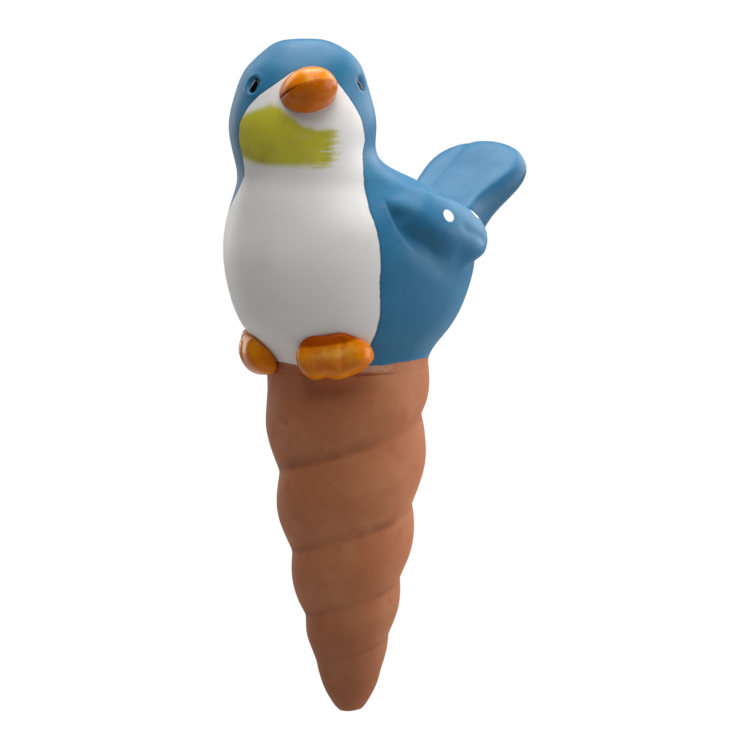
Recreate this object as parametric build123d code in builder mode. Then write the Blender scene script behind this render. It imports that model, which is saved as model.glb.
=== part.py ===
# Self watering spike: a hollow clay bird that stands on a twisted, porous clay spike.
# Millimetres, +Z up. The soil line, where the bird stands on the spike, is z = 0 on the spike's axis.
# The bird's body faces -Y, its left side is +X, and its head is turned towards its left.

import os
from math import cos, pi, radians, sin, sqrt

from build123d import *

os.makedirs("parts", exist_ok=True)

# Clay
wall = 4.2

# Spike: an ogive with one groove that winds down it like a screw
spike_length = 93.6
spike_radius = 20.3
ogive_length = 110.0
ogive_power = 1.75
tip_flat_radius = 2.4
tip_round_length = 8.6
tip_clay = 12.6
pitch_per_radius = 1.3
scallop_per_radius = 0.13
rim_swell = 0.6
groove_start_angle = 246.0
groove_lean = 4.3
groove_lean_angle = 228.0
groove_lean_run = 14.0
slices_per_turn = 6
points_per_slice = 8

# Torso, an upright egg that narrows to the neck
body_half_width = 31.5
body_ahead = 33.9
body_behind = 36.0
neck_height = 58.0
neck_radius = 18.6
neck_ahead = 14.9

# Head, turned on the neck
head_turn = 48.0
head_top = 87.2

# Filler hole in the back, square to the slope of the back
filler_radius = 5.5
filler_behind_share = 0.444
filler_height_share = 0.872
filler_tilt = 25.0

# Beak
beak_half_width = 7.4
beak_half_height = 5.9
beak_length = 10.0
beak_root_share = 0.54
beak_turn = 6.0
beak_aim_turn = 8.0
beak_tilt = 18.0
beak_roll = 10.0

# Eyes, beads that sit a little below the surface of the head
eye_radius = 2.0
eye_depth = 1.8
eye_sink = 0.4
eye_along_profile = 0.45
eye_angle = 57.0
eye_turn = 8.5

# Wings, raised lobes on the flanks
wing_lift = 3.6
wing_back_shift = 4.5

# Tail, a thick paddle
tail_half_width = 15.0
tail_thickness = 8.0
tail_root_behind_share = 0.667
tail_root_height_share = 0.595
tail_length = 39.4
tail_rise = 33.0
tail_aside = 3.4
tail_turn = 9.5
tail_roll = 4.0
tail_dish = 0.9
tail_margin = 2.6

# Feet, three toes each
toe_half_width = 4.6
toe_half_length = 7.0
toe_half_height = 6.0
toe_fan_angle = 13.4
instep_half_width = 9.0
instep_half_height = 6.0
foot_overhang = 0.3
left_instep_rise = 3.0
right_instep_rise = -0.6
left_foot_angle = 40.0
right_foot_angle = -34.0
foot_height = 5.6


# Points of an oval slice that reaches so far ahead of, behind and beside the spike's axis
def oval(ahead, behind, half_width, count=8):
    middle = (behind - ahead) / 2
    half_length = (behind + ahead) / 2
    turns = [2 * pi * step / count for step in range(count)]
    return [(half_width * cos(turn), middle + half_length * sin(turn)) for turn in turns]


# Radius of the spike at the bottom of its groove
def groove_radius(depth):
    radius = spike_radius * (1 - (depth / ogive_length) ** ogive_power)
    into_tip = max(depth - (spike_length - tip_round_length), 0) / tip_round_length
    return tip_flat_radius + (radius - tip_flat_radius) * sqrt(max(1 - into_tip**2, 0))


# Points of the spike's outline at a depth, from the groove once round and back to it. The rim is a circle.
def spike_outline(depth, groove_angle):
    inner = groove_radius(depth)
    swell = scallop_per_radius * (inner - tip_flat_radius)
    scalloped = min(depth / groove_lean_run, 1)
    points = []
    for step in range(points_per_slice + 1):
        share = step / points_per_slice
        radius = inner + swell * (rim_swell + scalloped * (sin(pi * share) - rim_swell))
        angle = radians(groove_angle + 360 * share)
        points.append((radius * cos(angle), radius * sin(angle)))
    return points


# Plane of a spike slice, level at the rim and leaning a little further down
def spike_plane(depth):
    lean = radians(groove_lean) * min(depth / groove_lean_run, 1)
    toward = radians(groove_lean_angle)
    normal = (sin(lean) * cos(toward), sin(lean) * sin(toward), cos(lean))
    return Plane((0, 0, -depth), x_dir=(1, 0, 0), z_dir=normal)


# Slices of the spike, each one a step further down and round
spike_slices = []
depth = 0
angle = groove_start_angle
while depth < spike_length - tip_flat_radius / 2:
    spike_slices.append((depth, angle))
    depth += pitch_per_radius * max(groove_radius(depth), tip_round_length / 2) / slices_per_turn
    angle -= 360 / slices_per_turn
spike_slices.append((spike_length, angle))

with BuildPart() as spike_form:
    for depth, angle in spike_slices:
        with BuildSketch(spike_plane(depth)):
            outline = spike_outline(depth, angle)
            with BuildLine():
                Spline(*outline[: points_per_slice // 2 + 1])
                Spline(*outline[points_per_slice // 2 :])
            make_face()
    loft()

bore_depth = spike_length - tip_clay
bore_points = []
for share in (0, 0.3, 0.6, 0.85):
    bore_points.append((groove_radius(bore_depth * share) - wall, -bore_depth * share))

with BuildPart() as soil_spike:
    add(spike_form.part)
    with BuildSketch(Plane.XZ):
        with BuildLine():
            bore_side = Spline(*bore_points, (0, -bore_depth), tangents=((0, -1), (-1, 0)))
            Polyline(bore_side @ 1, (0, wall), (bore_points[0][0], wall), bore_side @ 0)
        make_face()
    revolve(axis=Axis.Z, mode=Mode.SUBTRACT)
soil_spike.part.label = "soil_spike"
export_step(soil_spike.part, "parts/soil_spike.step")

# Torso slices between the spike's rim and the neck: share of the neck's height, then shares of the torso's
# reach ahead, its reach behind and its half width
torso_shares = [
    (0.06, 0.650, 0.630, 0.680),
    (0.18, 0.815, 0.790, 0.835),
    (0.35, 0.950, 0.945, 0.960),
    (0.55, 1.000, 1.000, 1.000),
    (0.67, 0.982, 0.905, 0.950),
    (0.77, 0.962, 0.755, 0.825),
    (0.86, 0.935, 0.500, 0.690),
    (0.93, 0.935, 0.215, 0.627),
]
rim_radius = spike_radius + rim_swell * scallop_per_radius * (spike_radius - tip_flat_radius)
torso_slices = [(0, rim_radius, rim_radius, rim_radius)]
for height, ahead, behind, width in torso_shares:
    reach = (ahead * body_ahead, behind * body_behind, width * body_half_width)
    torso_slices.append((height * neck_height, *reach))
torso_slices.append((neck_height, neck_radius + neck_ahead, neck_radius - neck_ahead, neck_radius))

# The tank's slices lie one wall inside those, and lower under the sloping shoulders and back
shoulder_height = 0.6 * neck_height
tank_slices = []
for height, ahead, behind, half_width in torso_slices:
    drop = 0.7 * wall if shoulder_height < height < neck_height else 0
    tank_slices.append((height - drop, ahead - wall, behind - wall, half_width - wall))

with BuildPart() as torso_form:
    for height, ahead, behind, half_width in torso_slices:
        with BuildSketch(Plane.XY.offset(height)):
            with BuildLine():
                Spline(*oval(ahead, behind, half_width), periodic=True)
            make_face()
    loft()

filler_lean = radians(filler_tilt)
filler_spot = (0, filler_behind_share * body_behind, filler_height_share * neck_height)
filler_plane = Plane(filler_spot, x_dir=(1, 0, 0), z_dir=(0, sin(filler_lean), cos(filler_lean)))

with BuildPart() as bird_body:
    add(torso_form.part)
    for height, ahead, behind, half_width in tank_slices:
        with BuildSketch(Plane.XY.offset(height)):
            with BuildLine():
                Spline(*oval(ahead, behind, half_width), periodic=True)
            make_face()
    loft(mode=Mode.SUBTRACT)
    with BuildSketch(filler_plane):
        Circle(filler_radius)
    extrude(amount=2 * wall, both=True, mode=Mode.SUBTRACT)
bird_body.part.label = "bird_body"
export_step(bird_body.part, "parts/bird_body.step")

# Head, turned about its own upright axis
head_axis = Axis((0, -neck_ahead, 0), (0, 0, 1))
head_plane = Plane((0, -neck_ahead, 0), x_dir=(1, 0, 0), z_dir=(0, -1, 0))
dome_height = head_top - neck_height
# Share of the dome's height and of the neck's radius
dome_shares = [(0.2, 1.045), (0.5, 0.952), (0.78, 0.74), (0.94, 0.46)]
dome_points = [(radius * neck_radius, neck_height + height * dome_height) for height, radius in dome_shares]
hollow_points = [(radius - wall, height - 0.5 * wall) for radius, height in dome_points]

with BuildPart() as head_form:
    with BuildSketch(head_plane):
        with BuildLine():
            dome_ends = ((0.2, 1), (-1, 0))
            dome = Spline((neck_radius, neck_height), *dome_points, (0, head_top), tangents=dome_ends)
            Polyline(dome @ 1, (0, neck_height), dome @ 0)
        make_face()
    revolve(axis=head_axis)


# Unit vector on the head, so far round from the face towards the bird's left
def head_direction(turned):
    yaw = radians(head_turn + turned)
    return Vector(sin(yaw), -cos(yaw), 0)


# Plane on the head's surface where an eye sits
def eye_plane(turned):
    spot = dome @ eye_along_profile
    slope = dome % eye_along_profile
    outward = head_direction(turned)
    upward = Vector(0, 0, 1)
    normal = outward * slope.Y - upward * slope.X
    return Plane(Vector(0, -neck_ahead, 0) + outward * spot.X + upward * spot.Y, z_dir=normal)


eye_planes = {"left_eye": eye_plane(eye_turn + eye_angle), "right_eye": eye_plane(eye_turn - eye_angle)}

with BuildPart() as bird_head:
    add(head_form.part)
    with BuildSketch(head_plane):
        with BuildLine():
            hollow_foot = (neck_radius - wall, neck_height)
            hollow = Spline(hollow_foot, *hollow_points, (0, head_top - wall), tangents=((0, 1), (-1, 0)))
            Polyline(hollow @ 1, (0, neck_height), hollow @ 0)
        make_face()
    revolve(axis=head_axis, mode=Mode.SUBTRACT)
    for plane in eye_planes.values():
        with BuildSketch(plane.offset(-eye_depth)):
            Circle(eye_radius)
        extrude(amount=2 * eye_depth, mode=Mode.SUBTRACT)
bird_head.part.label = "bird_head"
export_step(bird_head.part, "parts/bird_head.step")

for name, plane in eye_planes.items():
    with BuildPart() as eye:
        with BuildSketch(plane.offset(-eye_depth)):
            Circle(eye_radius)
        extrude(amount=eye_depth - eye_sink)
        chamfer(eye.faces().sort_by(Axis(plane.origin, plane.z_dir))[-1].edges(), eye_sink)
    eye.part.label = name
    export_step(eye.part, f"parts/{name}.step")

# Beak: a blunt oval cone that points up and a little aside from where the face looks, parted along the mouth
beak_base = 0.87 * neck_radius
beak_root_height = neck_height + beak_root_share * dome_height
beak_root = Vector(0, -neck_ahead, beak_root_height) + head_direction(beak_turn) * beak_base
beak_aim = head_direction(beak_turn + beak_aim_turn)
beak_lean = radians(beak_tilt)
beak_forward = beak_aim * cos(beak_lean) + Vector(0, 0, 1) * sin(beak_lean)
beak_left = Vector(0, 0, 1).cross(beak_aim).rotate(Axis((0, 0, 0), beak_forward), beak_roll)
beak_plane = Plane(beak_root, x_dir=beak_left, z_dir=beak_forward)
mouth_plane = Plane(beak_root, x_dir=beak_plane.x_dir, z_dir=beak_plane.y_dir)
# Share of the beak's length, and of its width and height there
beak_shares = [(-0.5, 1.0), (0, 1.0), (0.4, 0.93), (0.7, 0.75), (0.88, 0.52), (1.0, 0.2)]

with BuildPart() as beak_form:
    for along, girth in beak_shares:
        half_height = girth * beak_half_height
        with BuildSketch(beak_plane.offset(along * beak_length)):
            with BuildLine():
                Spline(*oval(half_height, half_height, girth * beak_half_width), periodic=True)
            make_face()
    loft()
    add(head_form.part, mode=Mode.SUBTRACT)

for name, side in {"upper_beak": Keep.TOP, "lower_beak": Keep.BOTTOM}.items():
    with BuildPart() as half_beak:
        add(beak_form.part)
        split(bisect_by=mouth_plane, keep=side)
    half_beak.part.label = name
    export_step(half_beak.part, f"parts/{name}.step")

# Wings: an outline seen from the side, in shares of the torso's reach behind and of the neck's height, on a
# copy of the torso that is set further back and stands out most at the shoulders
wing_outline_shares = [
    (-0.30, 0.76),
    (-0.21, 0.61),
    (0.08, 0.48),
    (0.39, 0.48),
    (0.61, 0.54),
    (0.71, 0.64),
    (0.50, 0.75),
    (0.11, 0.84),
    (-0.18, 0.86),
]
wing_outline = [(behind * body_behind, height * neck_height) for behind, height in wing_outline_shares]
# Share of the wing's lift on each torso slice, from the spike's rim up to the neck
lift_shares = [0, 0.2, 0.4, 0.5, 0.6, 0.8, 1.0, 0.9, 0.55, 0]

with BuildPart() as wing_form:
    for (height, ahead, behind, half_width), share in zip(torso_slices, lift_shares):
        lift = share * wing_lift
        with BuildSketch(Plane.XY.offset(height)):
            with BuildLine():
                wing_ahead = ahead + lift - wing_back_shift
                wing_behind = behind + lift + wing_back_shift
                Spline(*oval(wing_ahead, wing_behind, half_width + lift), periodic=True)
            make_face()
    loft()

for name, side in {"left_wing": 1, "right_wing": -1}.items():
    with BuildPart() as wing:
        add(wing_form.part)
        with BuildSketch(Plane.YZ):
            with BuildLine():
                Spline(*wing_outline, periodic=True)
            make_face()
        extrude(amount=side * 2 * body_half_width, mode=Mode.INTERSECT)
        add(torso_form.part, mode=Mode.SUBTRACT)
    wing.part.label = name
    export_step(wing.part, f"parts/{name}.step")

# Tail
tail_lean = radians(tail_rise)
tail_root = (tail_aside, tail_root_behind_share * body_behind, tail_root_height_share * neck_height)
tail_plane = Plane(tail_root, x_dir=(-1, 0, 0), z_dir=(0, cos(tail_lean), sin(tail_lean)))
tail_plane = tail_plane.rotated((0, tail_roll, tail_turn))
# Share of the tail's length, of its half width, and of its thickness above and below its middle
tail_shares = [
    (0, 0.62, 1.2, 1.9),
    (0.4, 0.85, 1.05, 1.8),
    (0.7, 1.0, 0.95, 1.05),
    (0.85, 0.94, 0.8, 0.8),
    (0.95, 0.72, 0.6, 0.6),
    (1.0, 0.4, 0.4, 0.4),
]

with BuildPart() as tail:
    for along, width, above, below in tail_shares:
        half_width = width * tail_half_width
        top = above * tail_thickness * 0.45
        bottom = below * tail_thickness * 0.55
        shoulder = half_width - tail_margin * width
        with BuildSketch(tail_plane.offset(along * tail_length)):
            with BuildLine():
                Spline((half_width, 0), (0, -bottom), (-half_width, 0), tangents=((0, -1), (0, 1)))
                Spline((-half_width, 0), (-shoulder, top), tangents=((0, 1), (1, 0)))
                ThreePointArc((-shoulder, top), (0, top - tail_dish * above), (shoulder, top))
                Spline((shoulder, top), (half_width, 0), tangents=((1, 0), (0, -1)))
            make_face()
    loft()
    add(torso_form.part, mode=Mode.SUBTRACT)
tail.part.label = "tail"
export_step(tail.part, "parts/tail.step")

# Feet: three toes fan out from a rounded instep, over the spike's rim. The left instep is the higher one.
foot_reach = rim_radius + foot_overhang

with BuildPart() as toe:
    Sphere(1)
    scale(by=(toe_half_width, toe_half_length, toe_half_height))

with BuildPart() as instep:
    Sphere(1)
    scale(by=(instep_half_width, toe_half_length, instep_half_height))

feet = {
    "left_foot": (left_foot_angle, left_instep_rise),
    "right_foot": (right_foot_angle, right_instep_rise),
}
for name, (foot_angle, instep_rise) in feet.items():
    with BuildPart() as foot:
        lumps = [(toe.part, fan, 0) for fan in (-toe_fan_angle, 0, toe_fan_angle)]
        lumps.append((instep.part, 0, instep_rise))
        for lump, fan, higher in lumps:
            yaw = foot_angle + fan
            spot = (foot_reach * sin(radians(yaw)), -foot_reach * cos(radians(yaw)), foot_height + higher)
            with Locations(Location(spot, (0, 0, yaw))):
                add(lump)
        add(torso_form.part, mode=Mode.SUBTRACT)
        add(spike_form.part, mode=Mode.SUBTRACT)
    foot.part.label = name
    export_step(foot.part, f"parts/{name}.step")
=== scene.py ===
import math

import bmesh
import bpy
import numpy as np
from mathutils import Matrix, Vector
from mathutils.bvhtree import BVHTree


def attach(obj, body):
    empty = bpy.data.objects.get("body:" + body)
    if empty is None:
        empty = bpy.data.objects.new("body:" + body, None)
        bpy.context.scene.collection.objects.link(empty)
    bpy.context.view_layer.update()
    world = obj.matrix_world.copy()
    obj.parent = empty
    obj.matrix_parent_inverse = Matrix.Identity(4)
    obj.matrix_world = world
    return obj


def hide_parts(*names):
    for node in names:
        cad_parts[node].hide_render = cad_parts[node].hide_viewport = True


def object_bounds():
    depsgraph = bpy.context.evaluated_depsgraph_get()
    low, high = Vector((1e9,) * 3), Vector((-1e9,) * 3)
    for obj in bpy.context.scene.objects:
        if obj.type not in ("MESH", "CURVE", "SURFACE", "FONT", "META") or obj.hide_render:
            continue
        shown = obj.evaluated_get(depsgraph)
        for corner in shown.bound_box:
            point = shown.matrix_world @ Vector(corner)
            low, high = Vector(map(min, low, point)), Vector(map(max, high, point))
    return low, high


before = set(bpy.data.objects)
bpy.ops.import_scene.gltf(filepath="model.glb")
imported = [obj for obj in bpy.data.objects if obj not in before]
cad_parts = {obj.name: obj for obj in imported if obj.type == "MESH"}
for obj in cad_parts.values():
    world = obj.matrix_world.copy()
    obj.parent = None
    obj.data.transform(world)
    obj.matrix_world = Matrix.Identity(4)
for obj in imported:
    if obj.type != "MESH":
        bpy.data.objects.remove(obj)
cadBox = [list(corner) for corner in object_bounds()]
scene = bpy.context.scene
mm = 0.001

# The bird's body faces -Y. Its head is turned to its left, about an upright axis ahead of the spike's axis.
headAxisY = -14.9
headTurn = 48.0


# Shared tools

def linearColour(code):
    shares = [int(code[start:start + 2], 16) / 255 for start in (1, 3, 5)]
    linear = [s / 12.92 if s <= 0.04045 else ((s + 0.055) / 1.055) ** 2.4 for s in shares]
    return (*linear, 1.0)


# Empties a node tree and gives the function that adds nodes to it, shader nodes where the kind has no prefix.
# An input takes a value, a hex colour, a socket, or a node, which gives its first output in use
def nodeAdder(tree):
    tree.nodes.clear()

    def add(kind, inputs=None, operation=None, **settings):
        node = tree.nodes.new(kind if "Node" in kind else "ShaderNode" + kind)
        if operation:
            node.operation = operation
        for name, value in settings.items():
            setattr(node, name, value)
        for key, value in (inputs or {}).items():
            if isinstance(value, bpy.types.Node):
                value = next(socket for socket in value.outputs if socket.enabled)
            if isinstance(value, bpy.types.NodeSocket):
                tree.links.new(value, node.inputs[key])
            elif isinstance(value, str) and value.startswith("#"):
                node.inputs[key].default_value = linearColour(value)
            else:
                node.inputs[key].default_value = value
        return node

    return add


def newMaterial(name):
    material = bpy.data.materials.new(name)
    material.use_nodes = True
    add = nodeAdder(material.node_tree)
    return material, add, add("TexCoord").outputs["Object"]


def finishMaterial(add, base, rough, shine, bump, bumpHeight):
    normal = add("Bump", {"Height": bump, "Strength": 1.0, "Distance": bumpHeight * mm})
    looks = {"Base Color": base, "Roughness": rough, "Specular IOR Level": shine, "Normal": normal}
    add("OutputMaterial", {"Surface": add("BsdfPrincipled", looks)})


# One mesh of the CAD nodes' copies, with their loose triangles joined
def joinedCopy(nodes):
    work = bmesh.new()
    for node in nodes:
        work.from_mesh(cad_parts[node].data)
    bmesh.ops.remove_doubles(work, verts=work.verts, dist=0.002 * mm)
    mesh = bpy.data.meshes.new("work")
    work.to_mesh(mesh)
    work.free()
    return mesh


# What a holder's modifier makes, as a mesh. The holder goes
def bakedMesh(holder):
    shape = holder.evaluated_get(bpy.context.evaluated_depsgraph_get())
    mesh = bpy.data.meshes.new_from_object(shape)
    bpy.data.objects.remove(holder)
    return mesh


def remeshed(mesh, voxel):
    holder = bpy.data.objects.new("holder", mesh)
    scene.collection.objects.link(holder)
    change = holder.modifiers.new("remesh", "REMESH")
    change.mode = "VOXEL"
    change.voxel_size = voxel * mm
    return bakedMesh(holder)


def meshPoints(mesh):
    points = np.zeros(len(mesh.vertices) * 3)
    mesh.vertices.foreach_get("co", points)
    return points.reshape(-1, 3)


def meshNormals(mesh):
    normals = np.zeros(len(mesh.vertices) * 3)
    mesh.vertices.foreach_get("normal", normals)
    return normals.reshape(-1, 3)


def setPoints(mesh, points):
    mesh.vertices.foreach_set("co", points.ravel())
    mesh.update()


def meshEdges(mesh):
    ends = np.zeros(len(mesh.edges) * 2, int)
    mesh.edges.foreach_get("vertices", ends)
    return ends.reshape(-1, 2)


# Each point moves towards the mean of its neighbours, by a weight of its own
def relax(points, edges, weight, rounds):
    count = np.bincount(edges.ravel(), minlength=len(points))[:, None]
    for _ in range(rounds):
        total = np.zeros_like(points)
        np.add.at(total, edges[:, 0], points[edges[:, 1]])
        np.add.at(total, edges[:, 1], points[edges[:, 0]])
        points = points + weight[:, None] * (total / count - points)
    return points


def nodeTree(node):
    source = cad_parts[node].data
    corners = [v.co for v in source.vertices]
    faces = [list(p.vertices) for p in source.polygons]
    return BVHTree.FromPolygons(corners, faces)


# Distance to a CAD node, in millimetres
def nodeAway(points, node):
    tree = nodeTree(node)
    return np.array([tree.find_nearest(point)[3] for point in points]) / mm


def setField(mesh, name, values):
    layer = mesh.attributes.new(name, "FLOAT", "POINT")
    layer.data.foreach_set("value", np.asarray(values, np.float32))


def soft(values, low, high):
    share = np.clip((values - low) / (high - low), 0, 1)
    return share * share * (3 - 2 * share)


def placePiece(name, mesh, material, node, slot):
    piece = bpy.data.objects.new(name, mesh)
    scene.collection.objects.link(piece)
    mesh.materials.clear()
    mesh.materials.append(material)
    mesh.shade_smooth()
    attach(piece, "root")
    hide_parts(node)


# Materials. Inputs 6 and 7 of a Mix node are its two colours

# Blue's hollow colour is painted shade with some paint pooling. Orange's deep colour is mostly painted shade,
# its pale one a painted highlight
bluePaint = {
    "main": "#27719A", "light": "#2E789F", "deep": "#226B93", "pooledPaintAndShade": "#195679", "shadow": "#1B4560",
}
whitePaint = {"main": "#F5F3F0", "grey": "#EDEBE7"}
yellowPaint = {"main": "#CFC738", "thinPaintAndHighlight": "#DCD680", "olive": "#BBB32D"}
paintShine = 0.33
clay = {"main": "#BA7149", "light": "#C57F56", "red": "#B1613D", "dark": "#7A4127", "pale": "#CFA086"}
clayShine = 0.35
orangePaint = {"main": "#F28308", "light": "#F89A18", "deep": "#B04A00", "thinPaintAndHighlight": "#FFB448"}
orangeShine = {"open": 0.28, "pooledPaintAndShade": 0.08}
blackPaint = {"main": "#050607", "worn": "#0E1316"}
blackShine = 0.2
ease = {"interpolation_type": "SMOOTHSTEP"}


# Coats of colour over one another, each where its share says
def layered(add, base, coats):
    for share, colour in coats:
        base = add("Mix", {0: share, 6: base, 7: colour}, data_type="RGBA")
    return base


# Low-fired clay gives soft red clouds and a few dark grains
def clayColour(add, place):
    broad = add("TexNoise", {"Vector": place, "Scale": 1 / (14 * mm)})
    clouds = add("MapRange", {"Value": broad, "From Min": 0.4, "From Max": 0.7}, **ease)
    patchy = add("TexNoise", {"Vector": place, "Scale": 1 / (6 * mm), "Detail": 1.0})
    reds = add("MapRange", {"Value": patchy, "From Min": 0.62, "From Max": 0.8, "To Max": 0.6}, **ease)
    cells = add("TexVoronoi", {"Vector": place, "Scale": 1 / (4 * mm)})
    grains = add("MapRange", {"Value": cells, "From Min": 0.06, "From Max": 0.03}, **ease)
    coats = ((clouds, clay["light"]), (reds, clay["red"]), (grains, clay["dark"]))
    return layered(add, clay["main"], coats)


# Fine grit on slow lumps. The grit is drawn coarser than real, so that it shows
def clayBump(add, place):
    grit = add("TexNoise", {"Vector": place, "Scale": 1 / (0.45 * mm), "Detail": 3.0, "Roughness": 0.65})
    lumps = add("TexNoise", {"Vector": place, "Scale": 1 / (5 * mm)})
    return add("Math", {0: grit, 1: 0.25, 2: lumps}, "MULTIPLY_ADD")


# Bare terracotta, pressed and fired: matt and warm, with painted shade along the groove, and darker towards
# the tip
def terracotta():
    material, add, place = newMaterial("firedTerracotta")
    patches = add("TexNoise", {"Vector": place, "Scale": 1 / (16 * mm)})
    breaks = {"Value": patches, "From Min": 0.4, "From Max": 0.65, "To Min": 0.15, "To Max": 0.8}
    broken = add("MapRange", breaks, **ease)
    # Painted shade along the groove, broken up in patches
    groove = add("Attribute", attribute_name="groove").outputs["Fac"]
    paintedGrooveShade = add("Math", {0: groove, 1: broken}, "MULTIPLY")
    height = add("SeparateXYZ", {0: place}).outputs["Z"]
    # Darker towards the tip
    tipDarkRange = {"Value": height, "From Min": -45 * mm, "From Max": -92 * mm, "To Max": 0.4}
    darkerTowardsTip = add("MapRange", tipDarkRange, **ease)
    base = layered(add, clayColour(add, place), ((paintedGrooveShade, clay["dark"]), (darkerTowardsTip, clay["dark"])))
    mottled = add("TexNoise", {"Vector": place, "Scale": 1 / (3 * mm)})
    rough = add("MapRange", {"Value": mottled, "To Min": 0.6, "To Max": 0.75})
    finishMaterial(add, base, rough, clayShine, clayBump(add, place), 0.15)
    return material


# Blue with upright brush strokes, thicker in patches, painted shade with some paint pooling in hollows, and a
# few grains under it
def blueCoat(add, place):
    upright = add("Mapping", {"Vector": place, "Scale": (1.0, 1.0, 0.35)})
    brushed = add("TexNoise", {"Vector": upright, "Scale": 1 / (4 * mm), "Detail": 3.0})
    strokes = add("MapRange", {"Value": brushed, "From Min": 0.35, "From Max": 0.7}, **ease)
    broad = add("TexNoise", {"Vector": place, "Scale": 1 / (15 * mm)})
    patches = add("MapRange", {"Value": broad, "From Min": 0.42, "From Max": 0.72, "To Max": 0.6}, **ease)
    # Painted shade, with some paint pooling: darker blue in the wing hollows and on the tail's down-facing
    # sides
    shadeAndPoolShare = add("Attribute", attribute_name="pooledPaintAndShade").outputs["Fac"]
    pooledPaintAndShade = add("Math", {0: shadeAndPoolShare, 1: 0.6}, "MULTIPLY")
    cells = add("TexVoronoi", {"Vector": place, "Scale": 1 / (11 * mm)})
    grains = add("MapRange", {"Value": cells, "From Min": 0.035, "From Max": 0.015}, **ease)
    coats = (
        (strokes, bluePaint["light"]),
        (patches, bluePaint["deep"]),
        (pooledPaintAndShade, bluePaint["pooledPaintAndShade"]),
        (grains, bluePaint["shadow"]),
    )
    return layered(add, bluePaint["main"], coats)


# White with faint stains, and over it a yellow throat brushed sideways, which runs dry at one end
def whiteCoat(add, place, slow):
    cloudy = add("TexNoise", {"Vector": place, "Scale": 1 / (11 * mm), "Detail": 3.0})
    stains = add("MapRange", {"Value": cloudy, "From Min": 0.5, "From Max": 0.8}, **ease)

    level = add("Mapping", {"Vector": place, "Scale": (0.22, 0.22, 1.5)})
    dry = add("TexNoise", {"Vector": level, "Scale": 1 / (1.5 * mm), "Detail": 3.0})
    dryWave = add("Math", {0: dry, 1: 1.5, 2: -0.75}, "MULTIPLY_ADD")
    atEnd = add("Attribute", attribute_name="dryEnd").outputs["Fac"]
    dryEnd = add("MapRange", {"Value": atEnd, "To Min": 0.1})
    streaks = add("Math", {0: dryWave, 1: dryEnd}, "MULTIPLY")
    ragged = add("Math", {0: slow, 1: 0.5, 2: streaks}, "MULTIPLY_ADD")
    throat = add("Attribute", attribute_name="throat").outputs["Fac"]
    onThroat = add("MapRange", {"Value": throat, "From Max": 0.3}, **ease)
    cover = add("Math", {0: ragged, 1: onThroat, 2: throat}, "MULTIPLY_ADD")
    cover = add("MapRange", {"Value": cover, "From Min": 0.05, "From Max": 0.95}, **ease)

    blotches = add("TexNoise", {"Vector": place, "Scale": 1 / (6 * mm)})
    thick = add("MapRange", {"Value": blotches, "From Min": 0.45, "From Max": 0.75}, **ease)
    # Here the share is thinner yellow where the brush ran dry
    thinPaintAndHighlight = add("MapRange", {"Value": dry, "From Min": 0.5, "From Max": 0.8, "To Max": 0.2}, **ease)
    coats = ((thick, yellowPaint["olive"]), (thinPaintAndHighlight, yellowPaint["thinPaintAndHighlight"]))
    yellow = layered(add, yellowPaint["main"], coats)
    return layered(add, whitePaint["main"], ((stains, whitePaint["grey"]), (cover, yellow)))


# Clay below the hem, with a pale smear of slip beside the foot and a dark crack under it
def hemClay(add, place, slow, quick):
    smear = add("Attribute", attribute_name="smear").outputs["Fac"]
    patchy = add("Math", {0: quick, 1: 1.2, 2: smear}, "MULTIPLY_ADD")
    smeared = add("MapRange", {"Value": patchy, "From Min": 0.3, "From Max": 0.9, "To Max": 0.85}, **ease)
    crack = add("Attribute", attribute_name="crack").outputs["Fac"]
    broken = add("Math", {0: slow, 1: 1.6, 2: crack}, "MULTIPLY_ADD")
    cracked = add("MapRange", {"Value": broken, "From Min": 0.3, "From Max": 0.8, "To Max": 0.6}, **ease)
    return layered(add, clayColour(add, place), ((smeared, clay["pale"]), (cracked, clay["dark"])))


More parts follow.
